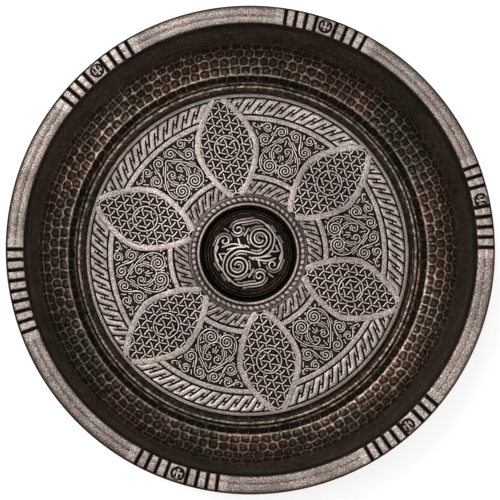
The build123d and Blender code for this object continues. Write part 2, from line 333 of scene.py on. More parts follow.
# Copies of a flat unit round the axis, laid on a surface. The wear grows with the height of a
# point above the surface, from Low Wear to High Wear.
def layingTree():
    tree, given = newTree("lay round", {
        "Surface": "Object", "Copies": "Int", "Turn": "Float", "Height": "Float", "Low Wear": "Float",
        "High Wear": "Float", "Wobble": "Float", "Wobble Size": "Float", "Material": "Material",
    })
    points = addNode(tree, "GeometryNodePoints", {"Count": given["Copies"]})
    share = calc(tree, "DIVIDE", addNode(tree, "GeometryNodeInputIndex"), given["Copies"])
    turn = calc(tree, "MULTIPLY_ADD", share, 2 * math.pi, given["Turn"])
    rotation = addNode(tree, "ShaderNodeCombineXYZ", {"Z": turn})
    inputs = {"Points": points, "Instance": given["Geometry"], "Rotation": rotation}
    copies = addNode(tree, "GeometryNodeInstanceOnPoints", inputs)
    whole = addNode(tree, "GeometryNodeRealizeInstances", {"Geometry": copies})
    place = addNode(tree, "GeometryNodeInputPosition")
    cell = calc(tree, "DIVIDE", 1.0, given["Wobble Size"])
    noise = addNode(tree, "ShaderNodeTexNoise", {"Vector": place, "Scale": cell, "Detail": 1.0})
    centred = calcVector(tree, "SUBTRACT", noise.outputs["Color"], (0.5, 0.5, 0.5))
    wobble = calcVector(tree, "SCALE", centred, calc(tree, "MULTIPLY", given["Wobble"], 2.0))
    shifted = addNode(tree, "ShaderNodeSeparateXYZ", {0: calcVector(tree, "ADD", place, wobble)}).outputs
    level = addNode(tree, "ShaderNodeSeparateXYZ", {0: place}).outputs["Z"]
    above = {"X": shifted["X"], "Y": shifted["Y"], "Z": laying["above"] * mm}
    hit = addNode(tree, "GeometryNodeRaycast", {
        "Target Geometry": geometryOf(tree, given["Surface"]), "Ray Direction": (0.0, 0.0, -1.0),
        "Source Position": addNode(tree, "ShaderNodeCombineXYZ", above), "Ray Length": laying["ray"] * mm,
    }).outputs
    lift = calcVector(tree, "SCALE", hit["Hit Normal"], level)
    target = calcVector(tree, "ADD", hit["Hit Position"], lift)
    wear = remap(tree, level, (given["Low Wear"], given["High Wear"]), (0.0, given["Height"]))
    laid = addNode(tree, "GeometryNodeSetPosition", {"Geometry": storeWearAndShade(tree, whole, wear), "Position": target})
    smooth = addNode(tree, "GeometryNodeSetShadeSmooth", {"Geometry": laid})
    return endTree(tree, smooth, given["Material"])


# Where the rays that find the surface start, and how long they are
laying = {"above": 100, "ray": 200}


# A hammer mark has a brown middle, sides darkened with painted shade, and a rubbed ridge against the next mark
hammerMarksAndShadeTree = strikingTree(
    "hammer marks", False,
    ((0.0, 1.0), (0.3, 0.92), (0.6, 0.65), (0.8, 0.37), (1.0, 0.0)),
    # The dip to 0.22 on the mark's sides is painted shade, darker than the mark's middle
    ((0.0, 0.54), (0.42, 0.47), (0.66, 0.25), (0.82, 0.22), (0.92, 0.8), (1.0, 1.0)),
)
# A chased groove has a round bottom and sharp edges
grooveTree = strikingTree(
    "chased grooves", True,
    ((0.0, 1.0), (0.3, 0.94), (0.6, 0.68), (0.85, 0.28), (1.0, 0.0)),
    ((0.0, 0.04), (0.3, 0.0), (0.8, 0.0), (0.95, 0.9), (1.0, 1.0)),
)
# Grooves between the ribs are as black from the rim's inner edge to its outer one
ribTree = strikingTree(
    "chisel ribs", False,
    ((0.0, 1.0), (0.3, 0.94), (0.6, 0.68), (0.85, 0.28), (1.0, 0.0)),
    ((0.0, 0.03), (0.3, 0.05), (0.55, 0.22), (0.78, 0.8), (1.0, 1.0)),
)
# Ground is set down beside a raised line and left full further off
groundTree = strikingTree(
    "set down ground", True, ((0.0, 1.0), (0.72, 1.0), (1.0, 0.0)), ((0.0, 0.0), (0.72, 0.0), (1.0, 1.0)),
)
raiseLines = raisingTree()
layRound = layingTree()
print("trees built")


# Finishes. The bowl is copper, tinned, blackened all over and rubbed back, which leaves a pinkish
# silver on high places, black in recesses, and a cloudy brown between.

def linear(hexColour):
    channels = [int(hexColour[i:i + 2], 16) / 255 for i in (1, 3, 5)]
    return [c / 12.92 if c <= 0.04045 else ((c + 0.055) / 1.055) ** 2.4 for c in channels] + [1.0]


def newMaterial(name):
    material = bpy.data.materials.new(name)
    material.use_nodes = True
    material.node_tree.nodes.clear()
    return material, material.node_tree


def noiseNode(tree, place, size, detail):
    return addNode(tree, "ShaderNodeTexNoise", {"Vector": place, "Scale": 1 / (size * mm), "Detail": detail})


def rampNode(tree, value, colours):
    ramp = addNode(tree, "ShaderNodeValToRGB", {"Fac": value})
    stops = ramp.color_ramp.elements
    while len(stops) < len(colours):
        stops.new(0.5)
    for stop, (position, colour) in zip(stops, colours):
        stop.position = position
        stop.color = linear(colour)
    return ramp


def endMetal(material, look, grain):
    tree = material.node_tree
    bump = addNode(tree, "ShaderNodeBump", {"Height": grain, "Strength": look.pop("Bump"), "Distance": 0.1 * mm})
    shader = addNode(tree, "ShaderNodeBsdfPrincipled", look | {"Normal": bump})
    addNode(tree, "ShaderNodeOutputMaterial", {"Surface": shader})
    return material


def patinatedCopper(name, look):
    material, tree = newMaterial(name)
    place = addNode(tree, "ShaderNodeTexCoord").outputs["Object"]
    # The mesh value is wear and patina, and on the hammer marks' sides painted shade
    wear = addNode(tree, "ShaderNodeAttribute", attribute_name="wear").outputs["Fac"]
    # Recesses are black all over, so the mottling has less room there
    room = calc(tree, "MULTIPLY_ADD", wear, 1.3, 0.2, use_clamp=True)
    for size, amount in look["mottling"]:
        swing = remap(tree, noiseNode(tree, place, size, 2.0), (-amount, amount), (0.25, 0.75))
        wear = calc(tree, "MULTIPLY_ADD", swing, room, wear)
    colours = rampNode(tree, wear, look["colours"])
    patches = noiseNode(tree, place, look["tint"], 2.0)
    tint = rampNode(tree, patches, ((0.4, look["cool"]), (0.6, look["warm"])))
    tinted = addNode(
        tree, "ShaderNodeMix", {0: 1.0, 6: colours, 7: tint}, data_type="RGBA", blend_type="MULTIPLY",
    ).outputs[2]
    return endMetal(material, {
        "Base Color": tinted, "Roughness": remap(tree, wear, (look["roughDark"], look["roughBright"])),
        "Metallic": remap(tree, wear, (look["metalDark"], 1.0), (0.0, 0.6)), "Bump": look["pitStrength"],
    }, noiseNode(tree, place, look["pit"], 4.0))


# Rubbed copper on the rim: pale, satin and speckled with pits that hold the black
rubbedCopper = patinatedCopper("rubbedSilveredCopper", {
    "colours": ((0.0, "#0b0605"), (0.3, "#40352f"), (0.65, "#7d726d"), (1.0, "#d0c6c1")),
    "mottling": ((9, 0.08), (0.5, 0.34)), "tint": 15, "cool": "#f7f6f2", "warm": "#fef7f3",
    "roughDark": 0.65, "roughBright": 0.45, "metalDark": 0.9, "pit": 0.6, "pitStrength": 0.35,
})
# Hammered copper on the wall: only the ridges between the hammer marks are rubbed, and the marks' sides hold painted
# shade
hammeredCopper = patinatedCopper("hammeredBlackenedCopper", {
    "colours": ((0.0, "#0b0604"), (0.35, "#3b2f27"), (0.7, "#7a6d65"), (1.0, "#c2b7b1")),
    "mottling": ((12, 0.1), (2.2, 0.26), (0.8, 0.34)), "tint": 24, "cool": "#dde7dc", "warm": "#fdece3",
    "roughDark": 0.6, "roughBright": 0.4, "metalDark": 0.9, "pit": 0.7, "pitStrength": 0.45,
})
# Chased copper on the floor: raised lines are bare, and the ground round them is black
chasedCopper = patinatedCopper("chasedSilveredCopper", {
    "colours": ((0.0, "#060302"), (0.3, "#40362f"), (0.65, "#8b807b"), (1.0, "#eae1dd")),
    "mottling": ((8, 0.06), (0.5, 0.27)), "tint": 15, "cool": "#f8f6f4", "warm": "#fff7f3",
    "roughDark": 0.65, "roughBright": 0.45, "metalDark": 0.9, "pit": 0.5, "pitStrength": 0.35,
})


# Shell

shell = {
    "flangeInnerRadius": 62, "sheet": 1.0,
    "flange": 12.348, "riserBend": (1.2, 57), "riser": 3.863, "shoulderBend": (1.6, -27),
    "slopeBend": (56.094, 8), "turnBend": (12.194, 46.7), "neck": 28.981, "lipBend": (1.8, -84.7), "lip": 5.358,
    "step": 0.44, "coarseStep": 1.0, "hiddenStep": 2.5, "outsideStep": 1.2, "columns": 900,
    # Way up from the foot of the riser: what the plate hides, the end of the neck, the bend to the lip
    "hiddenBelow": -5, "neckEnd": 50, "bend": (52, 57),
    # Turned rings on the neck, and finer ones over them: their share and how much closer they lie
    "ringSpacing": 3.7, "ringDepth": 0.05, "ringWear": 0.12, "fineRings": (0.6, 1.62),
    "outsideWear": 0.42, "undersideWear": 0.3,
}
hammering = {
    # For each row of marks: how far up from the foot of the riser, and how many
    "rows": ((3.3, 106), (7.55, 113), (11.9, 122), (16.1, 126), (20.1, 127)),
    # How far up the shell has what wear before it is struck
    "wear": (
        (-60, 0.35), (-4, 0.35), (-2, 0.0), (-0.4, 0.0), (0.3, 0.6), (3.3, 0.8), (5.3, 1.0), (9.8, 0.82),
        (14.0, 0.84), (18.0, 0.96), (22.2, 0.92), (24.0, 0.64), (30, 0.52), (49, 0.43), (52, 0.2), (60, 0.3),
    ),
    "markRadius": 2.6, "depth": 0.45, "jitter": 0.45, "seed": 7, "bulge": -0.4, "margin": 0.3,
    # A ridge that the hammer leaves along the edge between the riser and the slope
    "ridge": 5.4, "ridgeWidth": 0.7, "ridgeKept": 0.85,
}


def shellPoints(step):
    stretches = (
        (shell["flange"],), shell["riserBend"], (shell["riser"],), shell["shoulderBend"], shell["slopeBend"],
        shell["turnBend"], (shell["neck"],), shell["lipBend"], (shell["lip"],),
    )
    return walk(shell["flangeInnerRadius"], shell["sheet"], stretches, step)


def shellPlace(points, gone):
    # Radius and height where the line along the inside has gone this far
    for a, b in zip(points, points[1:]):
        if b[3] >= gone:
            share = (gone - a[3]) / (b[3] - a[3])
            return a[0] + share * (b[0] - a[0]), a[1] + share * (b[1] - a[1])
    return points[-1][:2]


def buildShell():
    foot = shell["flange"]
    full = shell["columns"]
    end = hammering["rows"][-1][0] + hammering["markRadius"] + hammering["margin"]
    outside = []
    for radius, height, heading, gone in shellPoints(shell["outsideStep"]):
        turn = math.radians(heading)
        struck = -1 < gone - foot < end + 1
        outside.append((
            radius + shell["sheet"] * math.sin(turn), height - shell["sheet"] * math.cos(turn),
            full // 2 if struck else full // 4, shell["outsideWear"] if gone > foot else shell["undersideWear"],
            hammering["bulge"] if struck else 0.0,
        ))
    inside = []
    points = shellPoints(shell["step"])
    for radius, height, heading, gone in points:
        up = gone - foot
        wear = np.interp(up, *zip(*hammering["wear"]))
        struck = 0 <= up <= end
        bent = shell["bend"][0] < up < shell["bend"][1]
        hidden = up < shell["hiddenBelow"] or up > shell["bend"][1]
        room = shell["hiddenStep"] if hidden else shell["coarseStep"]
        if not struck and not bent and inside and gone - inside[-1][-1] < room and gone < points[-1][-1]:
            continue
        if end < up < shell["neckEnd"]:
            share, closer = shell["fineRings"]
            ringTurn = 2 * math.pi * gone / shell["ringSpacing"]
            ripple = math.sin(ringTurn) + share * math.sin(ringTurn * closer)
            radius -= ripple * shell["ringDepth"]
            wear += shell["ringWear"] * ripple
        kept = hammering["ridgeKept"] * math.exp(-(((up - hammering["ridge"]) / hammering["ridgeWidth"]) ** 2))
        inside.append((radius, height, full if struck else full // 2, wear, 1 - kept if struck else 0.0, gone))
    piece = turnedMesh("bowlShell", outside + [row[:5] for row in inside[::-1]], evenAngles(full))
    storeOnPoints(piece.data, "fromMark", fromMarks(piece.data, hammerMarks(points, foot)))
    # Strikes the hammer marks, with painted shade on their sides
    strike(piece, hammerMarksAndShadeTree, hammeredCopper, hammering["markRadius"], hammering["depth"])
    return settle(piece)


def hammerMarks(points, foot):
    chance = random.Random(hammering["seed"])
    places = []
    for n, (up, count) in enumerate(hammering["rows"]):
        for k in range(count):
            radius, height = shellPlace(points, foot + up + chance.uniform(-1, 1) * hammering["jitter"])
            turn = 2 * math.pi * (k + 0.5 * (n % 2)) / count + chance.uniform(-1, 1) * hammering["jitter"] / radius
            places.append(Vector((radius * math.cos(turn), radius * math.sin(turn), height)) * mm)
    return places


# How far each point is from the middle of its mark, where the ridge to the next mark counts as
# Mark Radius, however near that mark was struck
def fromMarks(mesh, places):
    tree = KDTree(len(places))
    for n, place in enumerate(places):
        tree.insert(place, n)
    tree.balance()
    size = hammering["markRadius"] * mm
    distances = []
    for vertex in mesh.vertices:
        (here, index, distance), *others = tree.find_n(vertex.co, 3)
        toRidge = min((gap**2 - distance**2) / (2 * (there - here).length) for there, other, gap in others)
        distances.append(max(distance, size - toRidge))
    return distances


bowlShell = buildShell()
print("shell hammered")


# Rim band

band = {
    "innerRadius": 92.7, "lowerInnerRadius": 93.1, "crease": 95.7, "creaseDepth": 0.3,
    "crown": 0.35, "outerCrown": 0.28, "corner": 1.5, "sheet": 1.0, "lipTop": 48.65, "bottom": 44.55,
    "groups": (10.3, 71.6, 131.4, 190.4, 251.7, 309.8), "grooves": 9, "pitch": 2.5,
    "grooveRadius": 0.95, "grooveDepth": 0.75,
    "circles": (11.9, 71.6, 131.0, 251.9, 311.4), "circleFromEdge": 3.8, "circleRadius": 2.45,
    "circleLine": 0.55, "circleDepth": 0.35, "circleCut": 2.4, "circleCutPitch": 1.0,
    "fineStep": 0.13, "coarseStep": 0.55,
}
# Wear falls off along the crease and the inner edge, and evenly to the outer corner and down it
bandWear = {
    "hidden": 0.35, "side": 0.1, "top": 0.71, "creaseLoss": 0.18, "innerLoss": 0.2, "lossWidth": 0.4,
    "outerFrom": 97.9, "outerFall": 0.16, "corner": 0.56, "cornerFall": 1.1, "cornerDepth": 1.0,
    "cornerLeast": 0.05, "ribs": 0.8, "grooves": 0.2,
}


def bandAngles():
    # Close together in the groups of grooves and further apart between them
    half = band["pitch"] * (band["grooves"] + 1) / 2
    angles = []
    turn = 0.0
    while turn < 360:
        off = min(abs((turn - middle + 180) % 360 - 180) for middle in band["groups"])
        angles.append(math.radians(turn))
        turn += band["fineStep"] if off < half else band["coarseStep"]
    if len(angles) % 2:
        angles.append(math.radians((math.degrees(angles[-1]) + 360) / 2))
    return angles


def bandRows(steps):
    outer, top = cadReach("rim_band")
    inner, lower, bottom, crease = (band[key] for key in ("innerRadius", "lowerInnerRadius", "bottom", "crease"))
    shoulder = band["lipTop"] + band["sheet"]
    cavity, cavityLow = outer - band["sheet"], bottom + band["sheet"]
    outerEnd = outer - band["corner"]
    cut = band["corner"] * (1 - math.sqrt(0.5))
    lowCorner, highCorner, topEnd = (outer, bottom + band["corner"]), (outer, shoulder - band["corner"]), (outerEnd, shoulder)
    creaseTop = (crease, shoulder + band["crown"] - band["creaseDepth"])
    line = [(lower + n, bottom) for n in range(5)] + [(outerEnd, bottom)]
    line += arcPoints((outerEnd, bottom), (outer - cut, bottom + cut), lowCorner, 5)
    line += [(outer, (bottom + shoulder) / 2), highCorner]
    line += arcPoints(highCorner, (outer - cut, shoulder - cut), topEnd, 7)
    line += arcPoints(topEnd, ((outerEnd + crease) / 2, shoulder + band["outerCrown"]), creaseTop, 14)
    line += arcPoints(creaseTop, ((crease + inner) / 2, shoulder + band["crown"]), (inner, shoulder), 11)
    line += [(inner, shoulder - 0.35), (inner, band["lipTop"])]
    line += [(cavity, band["lipTop"]), (cavity, cavityLow), (lower, cavityLow)]
    rows = []
    for radius, height in line:
        wear = bandWear["hidden"]
        if height > shoulder - 0.02:
            nearCrease, nearInner = (math.exp(-(((radius - x) / bandWear["lossWidth"]) ** 2)) for x in (crease, inner))
            wear = bandWear["top"] - bandWear["creaseLoss"] * nearCrease - bandWear["innerLoss"] * nearInner
            wear -= bandWear["outerFall"] * max(0.0, radius - bandWear["outerFrom"])
        elif radius > outerEnd and height > shoulder - bandWear["cornerDepth"]:
            wear = bandWear["corner"] - bandWear["cornerFall"] * (shoulder - height)
            wear = max(bandWear["cornerLeast"], wear)
        elif radius > outerEnd and height > bottom + band["corner"]:
            wear = bandWear["side"]
        rows.append((radius, height, steps, wear, 1.0 if radius < outer - 0.7 and height > bottom + 1 else 0.12))
    return rows


# Lines of points in millimetres, as loose edges
def lineMarks(name, lines):
    places, edges = [], []
    for line in lines:
        edges += [(len(places) + n, len(places) + n + 1) for n in range(len(line) - 1)]
        places += [(x * mm, y * mm, z * mm) for x, y, z in line]
    return newPiece(name, places, edges)


def grooveAngles():
    for middle in band["groups"]:
        for n in range(band["grooves"]):
            angle = middle + (n - (band["grooves"] - 1) / 2) * band["pitch"]
            if not [c for c in band["circles"] if abs(c - angle) < band["pitch"] / 2]:
                yield angle


# How far each point on top of the band is from the middle of the nearest groove
def fromGrooves(mesh):
    x, y, z = placesOf(mesh).T / mm
    turns = np.degrees(np.arctan2(y, x))
    aside = np.full(len(x), 360.0)
    for groove in grooveAngles():
        aside = np.minimum(aside, np.abs((turns - groove + 180) % 360 - 180))
    below = np.maximum(0, band["lipTop"] - z)
    return ((np.radians(aside) * np.hypot(x, y) + 2 * below) * mm).tolist()


# A circle with two short cuts in it, in the middle of most groups
def bandCircles():
    outer, top = cadReach("rim_band")
    centre = outer - band["circleFromEdge"]
    lines = []
    for angle in band["circles"]:
        cx, cy, cz = turned(centre, angle, top)
        ring = [(cx + x, cy + y) for x, y, z in (turned(band["circleRadius"], 15 * n) for n in range(25))]
        overEdge = [max(0.0, math.hypot(x, y) - outer + band["corner"]) for x, y in ring]
        lines.append([(x, y, top - band["crown"] / 2 - over**2 / 3) for (x, y), over in zip(ring, overEdge)])
        for n in (-0.5, 0.5):
            aside = angle + n * band["circleCutPitch"]
            lines.append([turned(centre + s * band["circleCut"] / 2, aside, top) for s in (-1, 1)])
    return lineMarks("bandCircles", lines)


# The ribs are worn evenly from edge to edge, without the crease between the two crowns, and the
# grooves stay black over the outer corner
def wearRibs(mesh, distances):
    half = math.radians(band["pitch"] * (band["grooves"] + 1) / 2)
    wear = mesh.attributes["wear"].data
    for vertex, distance in zip(mesh.vertices, distances):
        turn = math.atan2(vertex.co.y, vertex.co.x)
        off = min(abs(math.remainder(turn - math.radians(middle), 2 * math.pi)) for middle in band["groups"])
        if off < half and wear[vertex.index].value > 0.5:
            wear[vertex.index].value = bandWear["ribs"]
        if distance < 0.5 * band["grooveRadius"] * mm:
            wear[vertex.index].value *= bandWear["grooves"]


def buildBand():
    angles = bandAngles()
    piece = turnedMesh("rimBand", bandRows(len(angles)), angles)
    distances = fromGrooves(piece.data)
    storeOnPoints(piece.data, "fromMark", distances)
    wearRibs(piece.data, distances)
    circles = bandCircles()
    strike(piece, ribTree, rubbedCopper, band["grooveRadius"], band["grooveDepth"])
    strike(piece, grooveTree, rubbedCopper, band["circleLine"], band["circleDepth"], Marks=circles)
    return settle(piece, circles)


rimBand = buildBand()
print("rim band chased")


# Floor plate

plate = {
    "holeRadius": 19.5, "landRadius": 27, "marginRadius": 61.5, "rise": 4.0, "sheet": 0.9, "marginTop": 2.05,
    "columns": 480, "step": 0.8, "groundWear": 0.0, "underWear": 0.4,
}


def platePoints(step):
    radius = cadReach("floor_plate")[0]
    run = plate["marginRadius"] - plate["landRadius"]
    slope = 2 * math.degrees(math.atan(plate["rise"] / run))
    bend = run / (2 * math.sin(math.radians(slope)))
    stretches = (
        (plate["landRadius"] - plate["holeRadius"],), (bend, -slope), (bend, slope), (radius - plate["marginRadius"],)
    )
    return walk(plate["holeRadius"], plate["marginTop"] + plate["rise"], stretches, step)


def buildPlate():
    points = platePoints(plate["step"])
    columns = plate["columns"]
    rows = [(point[0], point[1] - plate["sheet"], columns, plate["underWear"]) for point in points]
    rows += [(point[0], point[1], columns, plate["groundWear"]) for point in points[::-1]]
    piece = turnedMesh("floorPlate", rows, evenAngles(columns))
    piece.data.materials.append(chasedCopper)
    return piece


floorPlate = buildPlate()

petal = {
    "count": 6, "turn": 41.2, "innerTip": 26.2, "outerTip": 67.8, "halfWidth": 11.4,
    "fullness": 1.5, "pointedness": 0.76, "tipGrowth": 1.25,
    "strapWidth": 2.7, "strapHeight": 0.6, "strapEdge": 0.35,
}
straps = {
    "outerRadius": 59.4, "innerRadius": 33.6, "width": 2.3, "height": 0.55, "edge": 0.3,
    "borderWidth": 1.6, "borderFromEdge": 1.1,
}


def petalHalfWidth(radius, grow):
    middle = (petal["innerTip"] + petal["outerTip"]) / 2
    halfLength = (petal["outerTip"] - petal["innerTip"]) / 2 + grow * petal["tipGrowth"]
    share = abs(radius - middle) / halfLength
    if share >= 1:
        return -1.0
    return (petal["halfWidth"] + grow) * (1 - share ** petal["fullness"]) ** petal["pointedness"]


def inPetal(x, y, grow):
    return abs(y) < petalHalfWidth(x, grow)


# One side of a petal, from tip to tip
def petalSide(grow, count):
    middle = (petal["innerTip"] + petal["outerTip"]) / 2
    halfLength = (petal["outerTip"] - petal["innerTip"]) / 2 + grow * petal["tipGrowth"]
    side = []
    for n in range(1, count):
        radius = middle - halfLength * math.cos(math.pi * n / count)
        width = petalHalfWidth(radius, grow)
        if width > 2.4:
            side.append((radius, width))
    # Nearer to the tips it runs straight, or the strap would fold
    return [(petal["innerTip"] - 0.5, 1.5)] + side + [(petal["outerTip"] + 0.5, 1.5)]


# Lines as a mesh of loose edges, each point (x, y) or (x, y, thickness). A closed line ends
# where it starts.
def flatLines(name, lines):
    places, edges, thicknesses = [], [], []
    for line in lines:
        first = len(places)
        loop = tuple(line[0][:2]) == tuple(line[-1][:2])
        kept = line[:-1] if loop else line
        places += [(point[0] * mm, point[1] * mm, 0.0) for point in kept]
        thicknesses += [point[2] if len(point) > 2 else 1.0 for point in kept]
        edges += [(first + n, first + (n + 1) % len(kept)) for n in range(len(kept) if loop else len(kept) - 1)]
    return newPiece(name, places, edges, thickness=thicknesses)


# Flat pads from outlines, with a bevelled edge, sunk a little into what carries them
def flatPads(name, outlines, height, bevel, sink=0.15):
    places, faces = [], []
    for outline in outlines:
        rings = []
        for ring, level in ((outline, -sink), (outline, height - bevel), (insetOutline(outline, bevel), height)):
            rings.append(range(len(places), len(places) + len(ring)))
            places += [(x * mm, y * mm, level * mm) for x, y in ring]
        faces += bridge(rings[0], rings[1]) + bridge(rings[1], rings[2]) + [tuple(rings[2]), tuple(rings[0][::-1])]
    return newPiece(name, places, faces=faces)


def insetOutline(outline, inset):
    # Each corner moves along the mitre of its two sides. The outline runs counter-clockwise.
    inner = []
    count = len(outline)
    for n in range(count):
        before = Vector(outline[n - 1])
        here = Vector(outline[n])
        after = Vector(outline[(n + 1) % count])
        a = (here - before).normalized()
        b = (after - here).normalized()
        left = Vector((-a.y, a.x)) + Vector((-b.y, b.x))
        inner.append(tuple(here + left * (2 * inset / max(left.length_squared, 0.6))))
    return inner


# A piece raised from lines, or ready as pads or a slab, goes round the axis and onto a surface
def layOnFloor(piece, surface, look, lines=True):
    if lines:
        useTree(piece, raiseLines, {
            "Width": look["width"] * mm, "Height": look["height"] * mm, "Edge": look["edge"] * mm,
            "Edge Steps": look["edgeSteps"], "Material": chasedCopper,
        })
    useTree(piece, layRound, {
        "Surface": surface, "Copies": look["copies"], "Turn": math.radians(look["turn"]),
        "Height": look["height"] * mm, "Low Wear": look["lowWear"], "High Wear": look["highWear"],
        "Wobble": look["wobble"] * mm, "Wobble Size": look["wobbleSize"] * mm, "Material": chasedCopper,
    })
    return settle(piece)


# What the pieces on the floor have in common
floorLook = {"edgeSteps": 1, "copies": petal["count"], "turn": petal["turn"], "lowWear": 0.0}


def arcLine(radius, fromDegrees, toDegrees, step):
    count = max(2, round(abs(toDegrees - fromDegrees) * math.radians(radius) / step))
    angles = [fromDegrees + (toDegrees - fromDegrees) * n / count for n in range(count + 1)]
    return [turned(radius, angle)[:2] for angle in angles]


def buildStrapwork():
    base = floorLook | {
        "edge": straps["edge"], "edgeSteps": 3, "lowWear": 0.05, "highWear": 0.74, "wobble": 0.1, "wobbleSize": 6,
    }
    side = petalSide(petal["strapWidth"] / 2, 64)
    frames = flatLines("petalFrames", [side, [(x, -y, 0.98) for x, y in side]])
    layOnFloor(frames, floorPlate, base | {"width": petal["strapWidth"], "height": petal["strapHeight"]})
    arcs = []
    for radius in (straps["outerRadius"], straps["innerRadius"]):
        reach = math.degrees(math.asin((petalHalfWidth(radius, 0) + petal["strapWidth"] / 2) / radius))
        arcs.append(arcLine(radius, reach, 60 - reach, 0.8))
    bands = flatLines("floorStraps", arcs)
    layOnFloor(bands, floorPlate, base | {"width": straps["width"], "height": straps["height"]})
    radius = cadReach("floor_plate")[0] - straps["borderFromEdge"]
    border = flatLines("floorBorder", [arcLine(radius, 0, 359, 0.8) + [turned(radius, 0)[:2]]])
    layOnFloor(border, floorPlate, base | {
        "width": straps["borderWidth"], "height": 0.5, "copies": 1, "highWear": 0.64,
    })
    return [frames, bands, border]


lattice = {
    "pitch": 4.1, "arm": 0.72, "armTurn": -5, "armBend": 0.14, "width": 0.66, "height": 0.42,
    "padScale": 0.5, "padHeight": 0.26, "ringRadius": 5.4, "ringGap": 0.5, "ringWidth": 0.75,
}


def latticePoints():
    middle = (petal["innerTip"] + petal["outerTip"]) / 2
    pitch = lattice["pitch"]
    for row in range(-6, 7):
        for column in range(-12, 13):
            x = middle + 0.6 + pitch * (column + 0.5 * (row % 2))
            yield x, row * pitch * math.sqrt(3) / 2


def latticeArms():
    middle = (petal["innerTip"] + petal["outerTip"]) / 2
    ring = [turned(lattice["ringRadius"], 10 * n) for n in range(37)]
    lines = [[(middle + x, y, lattice["ringWidth"]) for x, y, z in ring[:-1] + ring[:1]]]
    for x, y in latticePoints():
        for direction in (0, 120, 240):
            turn = math.radians(direction + lattice["armTurn"])
            across = (-math.sin(turn), math.cos(turn))
            line = []
            for n in range(9):
                share = n / 8
                reach = share * lattice["arm"] * lattice["pitch"]
                bow = lattice["armBend"] * lattice["pitch"] * share * share
                px = x + reach * math.cos(turn) + bow * across[0]
                py = y + reach * math.sin(turn) + bow * across[1]
                fromRing = math.hypot(px - middle, py) - lattice["ringRadius"]
                if inPetal(px, py, 0.5) and abs(fromRing) > lattice["ringGap"]:
                    line.append((px, py, 1.08 - 0.3 * share))
                    continue
                if len(line) > 2:
                    lines.append(line)
                line = []
            if len(line) > 2:
                lines.append(line)
    return lines


def latticePads():
    outlines = []
    pitch = lattice["pitch"]
    for x, y in latticePoints():
        for side in (1, -1):
            cx, cy = x + pitch / 2, y + side * pitch / (2 * math.sqrt(3))
            if not inPetal(cx, cy, 0.6):
                continue
            size = lattice["padScale"] * pitch / math.sqrt(3)
            corners = [turned(size, side * 90 + 120 * n + 4) for n in range(3)]
            outlines.append([(cx + a, cy + b) for a, b, c in corners])
    return outlines


def buildLattice():
    look = floorLook | {
        "width": lattice["width"], "height": lattice["height"], "edge": 0.2, "highWear": 1.0,
        "wobble": 0.14, "wobbleSize": 2.5,
    }
    arms = layOnFloor(flatLines("petalLattice", latticeArms()), floorPlate, look)
    pads = flatPads("petalPads", latticePads(), lattice["padHeight"], 0.12)
    layOnFloor(pads, floorPlate, look | {"height": lattice["padHeight"], "highWear": 0.2}, lines=False)
    return [arms, pads]


# Key bands. In a unit, w counts pitches along the band and v goes from its inner edge to its outer one.

keyUnit = (
    (-0.25, 0.0), (0.61, 0.0), (0.61, 0.47), (0.39, 0.47), (0.39, 0.24), (0.25, 0.24),
    (0.25, 1.0), (-0.61, 1.0), (-0.61, 0.53), (-0.39, 0.53), (-0.39, 0.76), (-0.25, 0.76),
)
keyBands = {
    "outer": {"low": 61.15, "high": 67.95, "pitch": 4.33, "slant": 4.3, "first": -5.59, "count": 16, "wear": 0.79},
    "inner": {"low": 25.9, "high": 31.8, "pitch": 8.2, "slant": 8.0, "first": -7.0, "count": 10, "wear": 0.68},
}


# A unit's corners and points between them, where what lies beyond a petal's strap is pushed
# under it. Nothing is left of a unit that lies inside a petal.
def keyOutline(band, centre):
    outline = []
    for (w, v), (nextW, nextV) in zip(keyUnit, keyUnit[1:] + keyUnit[:1]):
        steps = max(1, round(abs(nextV - v) / 0.12))
        for n in range(steps):
            radius = band["low"] + (v + (nextV - v) * n / steps) * (band["high"] - band["low"])
            angle = centre + (w + (nextW - w) * n / steps) * band["pitch"]
            angle += (band["low"] + band["high"] - 2 * radius) / (band["high"] - band["low"]) * band["slant"] / 2
            edge = math.degrees(math.asin(max(0.0, petalHalfWidth(radius, petal["strapWidth"] / 2)) / radius))
            place = turned(radius, min(max(angle, edge), 360 / petal["count"] - edge))[:2]
            if not outline or math.dist(place, outline[-1]) > 0.1:
                outline.append(place)
    area = sum(a[0] * b[1] - b[0] * a[1] for a, b in zip(outline, outline[1:] + outline[:1])) / 2
    return outline[::-1] if abs(area) > 1.5 else []


def buildKeys():
    pieces = []
    for name, band in keyBands.items():
        outlines = [keyOutline(band, band["first"] + n * band["pitch"]) for n in range(band["count"])]
        pads = flatPads(name + "KeyBand", [outline for outline in outlines if outline], 0.4, 0.16)
        look = {"height": 0.4, "highWear": band["wear"], "wobble": 0.14, "wobbleSize": 3}
        pieces.append(layOnFloor(pads, floorPlate, floorLook | look, lines=False))
    return pieces


# Scrollwork. A stroke goes smoothly through points and into a coil. A point is (degrees from the
# field's middle line, radius), and a coil is (degrees, radius, coil radius, turns, way round).
# Where a stroke starts with a coil, it comes out of that one first.

